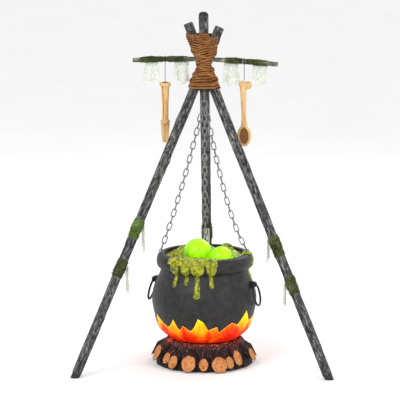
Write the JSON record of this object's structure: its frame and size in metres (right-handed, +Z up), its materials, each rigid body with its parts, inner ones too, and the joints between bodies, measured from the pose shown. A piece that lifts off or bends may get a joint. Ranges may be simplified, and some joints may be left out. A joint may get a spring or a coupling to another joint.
{
  "type": "animated cauldron tripod decoration",
  "caption": "Lashed faux-branch tripod over a round black cauldron of glowing slime with rising bubbles, chains, flame band and log ring.",
  "frame": {"origin": "on the floor at the cauldron's vertical axis, the centre of the base plate's underside", "axes": "+Z up, -Y the front that faces the viewer, +Y the rear pole and the battery box, +X the spoon's side"},
  "size_m": [1.0988, 0.9563, 1.5119],
  "materials": {
    "bark_sleeve": "mottled grey bark print over tube",
    "hub_plastic": "black moulded plastic",
    "foot_rubber": "black rubber",
    "jute_rope": "twisted tan-brown jute",
    "bark_bar": "brown-grey bark",
    "moss": "dried green fibre",
    "gauze": "thin creased grey-green gauze",
    "pale_wood": "pale raw wood",
    "dark_string": "dark twisted string",
    "steel": "bright steel wire",
    "black_iron_look": "matt charcoal, faintly hammered",
    "flame_skin": "translucent yellow to red flames",
    "slime": "wet olive-green slime",
    "lit_bubble": "translucent lime plastic, lit from inside",
    "charred_bark": "dark red-brown bark with ember glow",
    "black_plastic": "black plastic",
    "white_nylon": "natural nylon",
    "circuit_board": "green lacquered laminate",
    "led_lens": "clear lamp resin",
    "cell_jacket": "plain dark cell jacket",
    "contact_brass": "plated spring contacts",
    "wire_jacket": "black soft wire jacket",
    "red_button": "red plastic"
  },
  "bodies": {
    "tripod": {"tripod_hub": "hub_plastic", "pole_couplers": "hub_plastic", "pole_top_caps": "hub_plastic", "rubber_feet": "foot_rubber", "rope_lashing": "jute_rope", "crossbar": "bark_bar", "pole_moss": "moss", "bar_moss": "moss", "lashing_moss": "moss", "bar_gauze": "gauze", "pole_gauze": "gauze", "left_pole_upper": "bark_sleeve", "left_pole_lower": "bark_sleeve", "left_pole_top": "bark_sleeve", "right_pole_upper": "bark_sleeve", "right_pole_lower": "bark_sleeve", "right_pole_top": "bark_sleeve", "back_pole_upper": "bark_sleeve", "back_pole_lower": "bark_sleeve", "back_pole_top": "bark_sleeve"},
    "cauldron": {"swivel_hook": "steel", "master_link": "steel", "rim_eyes": "steel", "cauldron_body": "black_iron_look", "flame_skin": "flame_skin", "slime_drips": "slime", "slime_pool": "slime", "mechanism_frame": "black_plastic", "gear_motor": "steel", "led_boards": "circuit_board", "green_leds": "led_lens", "fire_leds": "led_lens", "control_board": "circuit_board", "wire_harness": "wire_jacket", "log_ring": "charred_bark", "base_plate": "black_plastic", "chassis_screws": "steel", "battery_box": "black_plastic", "battery_cells": "cell_jacket", "battery_contacts": "contact_brass"},
    "bubble_drive": {"bubble_drive_gear": "white_nylon", "drive_shaft": "steel"},
    "motor_gear": {"motor_pinion": "steel"},
    "big_bubble": {"big_bubble": "lit_bubble", "big_bubble_rack": "white_nylon"},
    "small_bubble": {"small_bubble": "lit_bubble", "small_bubble_rack": "white_nylon"},
    "left_chain": {"left_chain": "steel"},
    "right_chain": {"right_chain": "steel"},
    "back_chain": {"back_chain": "steel"},
    "left_handle": {"left_ring_handle": "black_iron_look"},
    "right_handle": {"right_ring_handle": "black_iron_look"},
    "fork": {"fork_handle": "pale_wood", "fork_blade": "pale_wood", "fork_string": "dark_string"},
    "spoon": {"spoon": "pale_wood", "spoon_string": "dark_string"},
    "battery_door": {"battery_door": "black_plastic"},
    "power_switch": {"power_switch": "black_plastic"},
    "try_me_button": {"try_me_button": "red_button"}
  },
  "joints": [
    {"name": "cauldron_swivel", "type": "hinge", "parent": "tripod", "child": "cauldron", "pos_m": [0, 0, 1.2], "axis": [0, 0, 1], "continuous": true},
    {"name": "left_chain_sway", "type": "hinge", "parent": "cauldron", "child": "left_chain", "pos_m": [-0.00649, 0.00014, 1.09518], "axis": [-0.2771, -0.0254, -0.9605], "range_deg": [-4, 20]},
    {"name": "right_chain_sway", "type": "hinge", "parent": "cauldron", "child": "right_chain", "pos_m": [0.00682, 0.00011, 1.09525], "axis": [0.2759, -0.0252, -0.9609], "range_deg": [-20, 0]},
    {"name": "back_chain_sway", "type": "hinge", "parent": "cauldron", "child": "back_chain", "pos_m": [0, -0.00147, 1.09243], "axis": [0, 0.2907, -0.9568], "range_deg": [0, 6]},
    {"name": "left_handle_lift", "type": "hinge", "parent": "cauldron", "child": "left_handle", "pos_m": [-0.21346, 0.05322, 0.347], "axis": [0.2419, 0.9703, 0], "range_deg": [0, 80]},
    {"name": "right_handle_lift", "type": "hinge", "parent": "cauldron", "child": "right_handle", "pos_m": [0.21346, -0.05322, 0.347], "axis": [-0.2419, -0.9703, 0], "range_deg": [0, 80]},
    {"name": "fork_swing", "type": "hinge", "parent": "tripod", "child": "fork", "pos_m": [-0.164, 0, 1.29739], "axis": [1, 0, 0], "range_deg": [-7, 35]},
    {"name": "spoon_swing", "type": "hinge", "parent": "tripod", "child": "spoon", "pos_m": [0.167, 0, 1.28894], "axis": [1, 0, 0], "range_deg": [-7, 35]},
    {"name": "bubble_drive_turn", "type": "hinge", "parent": "cauldron", "child": "bubble_drive", "pos_m": [0.022, 0, 0.384], "axis": [0, 1, 0], "range_deg": [-31.8, 31.8]},
    {"name": "motor_gear_turn", "type": "hinge", "parent": "cauldron", "child": "motor_gear", "pos_m": [0.022, 0.02, 0.3515], "axis": [0, 1, 0], "range_deg": [-106.1, 106.1]},
    {"name": "big_bubble_rise", "type": "slide", "parent": "cauldron", "child": "big_bubble", "axis": [0, 0, 1], "range_m": [-0.01, 0.01]},
    {"name": "small_bubble_rise", "type": "slide", "parent": "cauldron", "child": "small_bubble", "axis": [0, 0, 1], "range_m": [-0.01, 0.01]},
    {"name": "battery_door_hinge", "type": "hinge", "parent": "cauldron", "child": "battery_door", "pos_m": [0, 0.2148, 0.06], "axis": [1, 0, 0], "range_deg": [0, 100]},
    {"name": "power_switch_slide", "type": "slide", "parent": "cauldron", "child": "power_switch", "axis": [1, 0, 0], "range_m": [0, 0.0054]},
    {"name": "try_me_press", "type": "slide", "parent": "cauldron", "child": "try_me_button", "axis": [0, -1, 0], "range_m": [0, 0.003], "stiffness_N_per_m": 400}
  ],
  "couplings": [
    {"joint": "motor_gear_turn", "follows": "bubble_drive_turn", "ratio": -3.3333},
    {"joint": "big_bubble_rise", "follows": "bubble_drive_turn", "m_per_rad": 0.018},
    {"joint": "small_bubble_rise", "follows": "bubble_drive_turn", "m_per_rad": -0.018}
  ]
}
